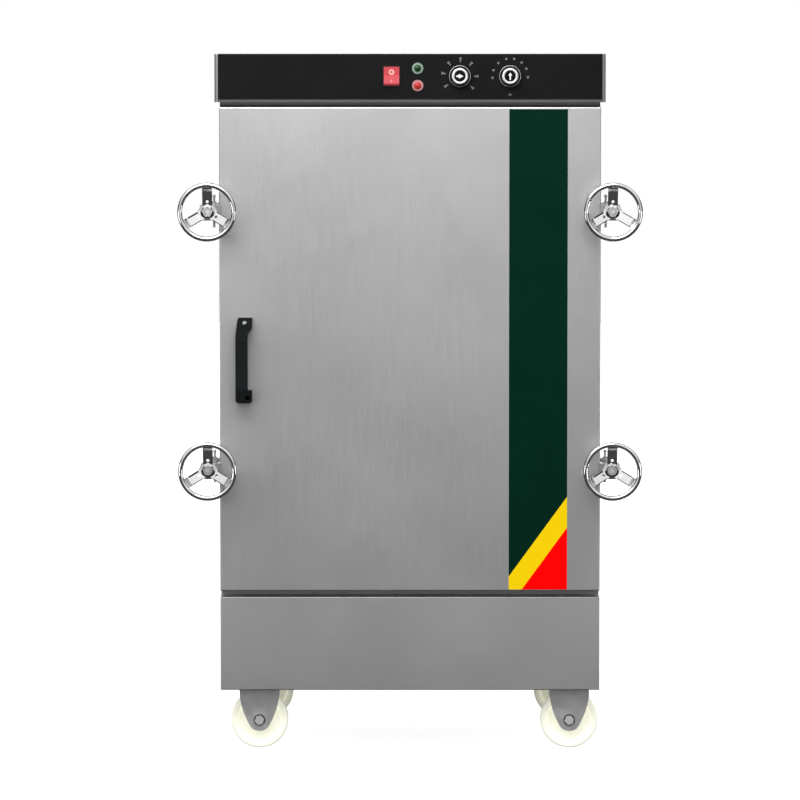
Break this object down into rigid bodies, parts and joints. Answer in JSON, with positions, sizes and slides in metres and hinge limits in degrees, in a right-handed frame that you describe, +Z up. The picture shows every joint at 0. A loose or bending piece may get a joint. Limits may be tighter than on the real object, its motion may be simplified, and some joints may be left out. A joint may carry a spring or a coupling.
{
  "type": "commercial rice steamer",
  "caption": "Upright stainless-steel rice steaming cabinet on casters with a clamped side-hinged door, slide-in trays, a water tank below and a control box on top.",
  "frame": {"origin": "on the floor under the centre of the bounding box", "axes": "+X to the right seen from the front, +Y from the door to the rear, +Z up"},
  "size_m": [0.8252, 0.6446, 1.248],
  "materials": {
    "stainless_panel": "satin",
    "stainless_inner": "satin",
    "polished_steel": "polished",
    "zinc_plate": "satin",
    "black_panel": "satin",
    "black_plastic": "satin",
    "red_plastic": "gloss",
    "green_lens": "gloss",
    "red_lens": "gloss",
    "nylon_wheel": "satin",
    "silicone_gasket": "matte",
    "mineral_wool": "matte",
    "brass": "satin",
    "grey_plastic": "matte",
    "white_plastic": "satin"
  },
  "bodies": {
    "root": {"outer_casing": "stainless_panel", "front_frame": "stainless_panel", "top_deck": "stainless_panel", "base_front_panel": "stainless_panel", "chassis": "zinc_plate", "chamber_liner": "stainless_inner", "insulation": "mineral_wool", "tray_rack": "stainless_inner", "heating_elements": "stainless_inner", "inlet_valve": "brass", "drain_valve": "brass", "steam_vent": "stainless_inner", "cable_gland": "black_plastic", "control_housing": "stainless_panel", "fascia_panel": "black_panel", "rocker_bezel": "black_plastic", "green_pilot_light": "green_lens", "red_pilot_light": "red_lens", "thermostat": "grey_plastic", "timer": "white_plastic", "contactor": "grey_plastic", "clamp_brackets": "zinc_plate", "clamp_fasteners": "zinc_plate", "caster_frames": "zinc_plate"},
    "door": {"door_skin": "stainless_panel", "door_insulation": "mineral_wool", "door_inner_panel": "stainless_inner", "door_gasket": "silicone_gasket", "pull_handle": "black_plastic", "door_lugs": "zinc_plate", "right_swing_arms": "zinc_plate"},
    "left_upper_arm": {"left_upper_swing_arm": "zinc_plate"},
    "left_lower_arm": {"left_lower_swing_arm": "zinc_plate"},
    "left_upper_washer_body": {"left_upper_washer": "polished_steel"},
    "left_upper_handwheel_body": {"left_upper_handwheel": "polished_steel"},
    "left_lower_washer_body": {"left_lower_washer": "polished_steel"},
    "left_lower_handwheel_body": {"left_lower_handwheel": "polished_steel"},
    "right_upper_washer_body": {"right_upper_washer": "polished_steel"},
    "right_upper_handwheel_body": {"right_upper_handwheel": "polished_steel"},
    "right_lower_washer_body": {"right_lower_washer": "polished_steel"},
    "right_lower_handwheel_body": {"right_lower_handwheel": "polished_steel"},
    "thermostat_knob_body": {"thermostat_knob": "black_plastic"},
    "timer_knob_body": {"timer_knob": "black_plastic"},
    "rocker": {"rocker_button": "red_plastic"},
    "drain_lever_body": {"drain_lever": "red_plastic"},
    "float": {"float_arm": "white_plastic"},
    "front_left_wheel": {"front_left_caster_wheel": "nylon_wheel"},
    "rear_left_fork": {"rear_left_caster_fork": "zinc_plate"},
    "rear_left_wheel": {"rear_left_caster_wheel": "nylon_wheel"},
    "front_right_wheel": {"front_right_caster_wheel": "nylon_wheel"},
    "rear_right_fork": {"rear_right_caster_fork": "zinc_plate"},
    "rear_right_wheel": {"rear_right_caster_wheel": "nylon_wheel"},
    "tray_1_body": {"tray_1": "stainless_inner"},
    "tray_2_body": {"tray_2": "stainless_inner"},
    "tray_3_body": {"tray_3": "stainless_inner"},
    "tray_4_body": {"tray_4": "stainless_inner"},
    "tray_5_body": {"tray_5": "stainless_inner"},
    "tray_6_body": {"tray_6": "stainless_inner"},
    "tray_7_body": {"tray_7": "stainless_inner"},
    "tray_8_body": {"tray_8": "stainless_inner"}
  },
  "joints": [
    {"name": "door_hinge", "type": "hinge", "parent": "root", "child": "door", "pos_m": [0.353, -0.17, 0.735], "axis": [0, 0, 1], "range_deg": [0, 135]},
    {"name": "left_upper_arm_swing", "type": "hinge", "parent": "root", "child": "left_upper_arm", "pos_m": [-0.353, -0.17, 0.9676], "axis": [0, 0, -1], "range_deg": [0, 135]},
    {"name": "left_lower_arm_swing", "type": "hinge", "parent": "root", "child": "left_lower_arm", "pos_m": [-0.353, -0.17, 0.5064], "axis": [0, 0, -1], "range_deg": [0, 135]},
    {"name": "left_upper_screw_travel", "type": "slide", "parent": "left_upper_arm", "child": "left_upper_washer_body", "axis": [0, -1, 0], "range_m": [0, 0.00801]},
    {"name": "left_upper_handwheel_spin", "type": "hinge", "parent": "left_upper_washer_body", "child": "left_upper_handwheel_body", "pos_m": [-0.3604, -0.29, 0.9676], "axis": [0, -1, 0], "range_deg": [0, 1440]},
    {"name": "left_lower_screw_travel", "type": "slide", "parent": "left_lower_arm", "child": "left_lower_washer_body", "axis": [0, -1, 0], "range_m": [0, 0.00801]},
    {"name": "left_lower_handwheel_spin", "type": "hinge", "parent": "left_lower_washer_body", "child": "left_lower_handwheel_body", "pos_m": [-0.3604, -0.29, 0.5064], "axis": [0, -1, 0], "range_deg": [0, 1440]},
    {"name": "right_upper_screw_travel", "type": "slide", "parent": "door", "child": "right_upper_washer_body", "axis": [0, -1, 0], "range_m": [0, 0.00801]},
    {"name": "right_upper_handwheel_spin", "type": "hinge", "parent": "right_upper_washer_body", "child": "right_upper_handwheel_body", "pos_m": [0.3604, -0.29, 0.9676], "axis": [0, -1, 0], "range_deg": [0, 1440]},
    {"name": "right_lower_screw_travel", "type": "slide", "parent": "door", "child": "right_lower_washer_body", "axis": [0, -1, 0], "range_m": [0, 0.00801]},
    {"name": "right_lower_handwheel_spin", "type": "hinge", "parent": "right_lower_washer_body", "child": "right_lower_handwheel_body", "pos_m": [0.3604, -0.29, 0.5064], "axis": [0, -1, 0], "range_deg": [0, 1440]},
    {"name": "thermostat_knob_turn", "type": "hinge", "parent": "root", "child": "thermostat_knob_body", "pos_m": [0.0884, -0.285, 1.208], "axis": [0, -1, 0], "range_deg": [-42, 215]},
    {"name": "timer_knob_turn", "type": "hinge", "parent": "root", "child": "timer_knob_body", "pos_m": [0.1776, -0.285, 1.208], "axis": [0, -1, 0], "range_deg": [-93, 180]},
    {"name": "rocker_tilt", "type": "hinge", "parent": "root", "child": "rocker", "pos_m": [-0.033, -0.272, 1.208], "axis": [1, 0, 0], "range_deg": [0, 18]},
    {"name": "drain_lever_turn", "type": "hinge", "parent": "root", "child": "drain_lever_body", "pos_m": [0.24, 0.2972, 0.166], "axis": [0, 0, -1], "range_deg": [0, 90]},
    {"name": "float_swing", "type": "hinge", "parent": "root", "child": "float", "pos_m": [-0.262, 0.214, 0.262], "axis": [-1, 0, 0], "range_deg": [0, 30]},
    {"name": "front_left_wheel_roll", "type": "hinge", "parent": "root", "child": "front_left_wheel", "pos_m": [-0.271, -0.215, 0.0515], "axis": [0, 1, 0], "continuous": true},
    {"name": "rear_left_caster_swivel", "type": "hinge", "parent": "root", "child": "rear_left_fork", "pos_m": [-0.241, 0.215, 0.11], "axis": [0, 0, 1], "continuous": true},
    {"name": "rear_left_wheel_roll", "type": "hinge", "parent": "rear_left_fork", "child": "rear_left_wheel", "pos_m": [-0.271, 0.215, 0.0515], "axis": [0, 1, 0], "continuous": true},
    {"name": "front_right_wheel_roll", "type": "hinge", "parent": "root", "child": "front_right_wheel", "pos_m": [0.287, -0.215, 0.0515], "axis": [0, 1, 0], "continuous": true},
    {"name": "rear_right_caster_swivel", "type": "hinge", "parent": "root", "child": "rear_right_fork", "pos_m": [0.257, 0.215, 0.11], "axis": [0, 0, 1], "continuous": true},
    {"name": "rear_right_wheel_roll", "type": "hinge", "parent": "rear_right_fork", "child": "rear_right_wheel", "pos_m": [0.287, 0.215, 0.0515], "axis": [0, 1, 0], "continuous": true},
    {"name": "tray_1_slide", "type": "slide", "parent": "root", "child": "tray_1_body", "axis": [0, -1, 0], "range_m": [0, 0.025]},
    {"name": "tray_2_slide", "type": "slide", "parent": "root", "child": "tray_2_body", "axis": [0, -1, 0], "range_m": [0, 0.025]},
    {"name": "tray_3_slide", "type": "slide", "parent": "root", "child": "tray_3_body", "axis": [0, -1, 0], "range_m": [0, 0.025]},
    {"name": "tray_4_slide", "type": "slide", "parent": "root", "child": "tray_4_body", "axis": [0, -1, 0], "range_m": [0, 0.025]},
    {"name": "tray_5_slide", "type": "slide", "parent": "root", "child": "tray_5_body", "axis": [0, -1, 0], "range_m": [0, 0.025]},
    {"name": "tray_6_slide", "type": "slide", "parent": "root", "child": "tray_6_body", "axis": [0, -1, 0], "range_m": [0, 0.025]},
    {"name": "tray_7_slide", "type": "slide", "parent": "root", "child": "tray_7_body", "axis": [0, -1, 0], "range_m": [0, 0.025]},
    {"name": "tray_8_slide", "type": "slide", "parent": "root", "child": "tray_8_body", "axis": [0, -1, 0], "range_m": [0, 0.025]}
  ],
  "couplings": [
    {"joint": "left_upper_screw_travel", "follows": "left_upper_handwheel_spin", "m_per_rad": 0.00031831},
    {"joint": "left_lower_screw_travel", "follows": "left_lower_handwheel_spin", "m_per_rad": 0.00031831},
    {"joint": "right_upper_screw_travel", "follows": "right_upper_handwheel_spin", "m_per_rad": 0.00031831},
    {"joint": "right_lower_screw_travel", "follows": "right_lower_handwheel_spin", "m_per_rad": 0.00031831}
  ]
}
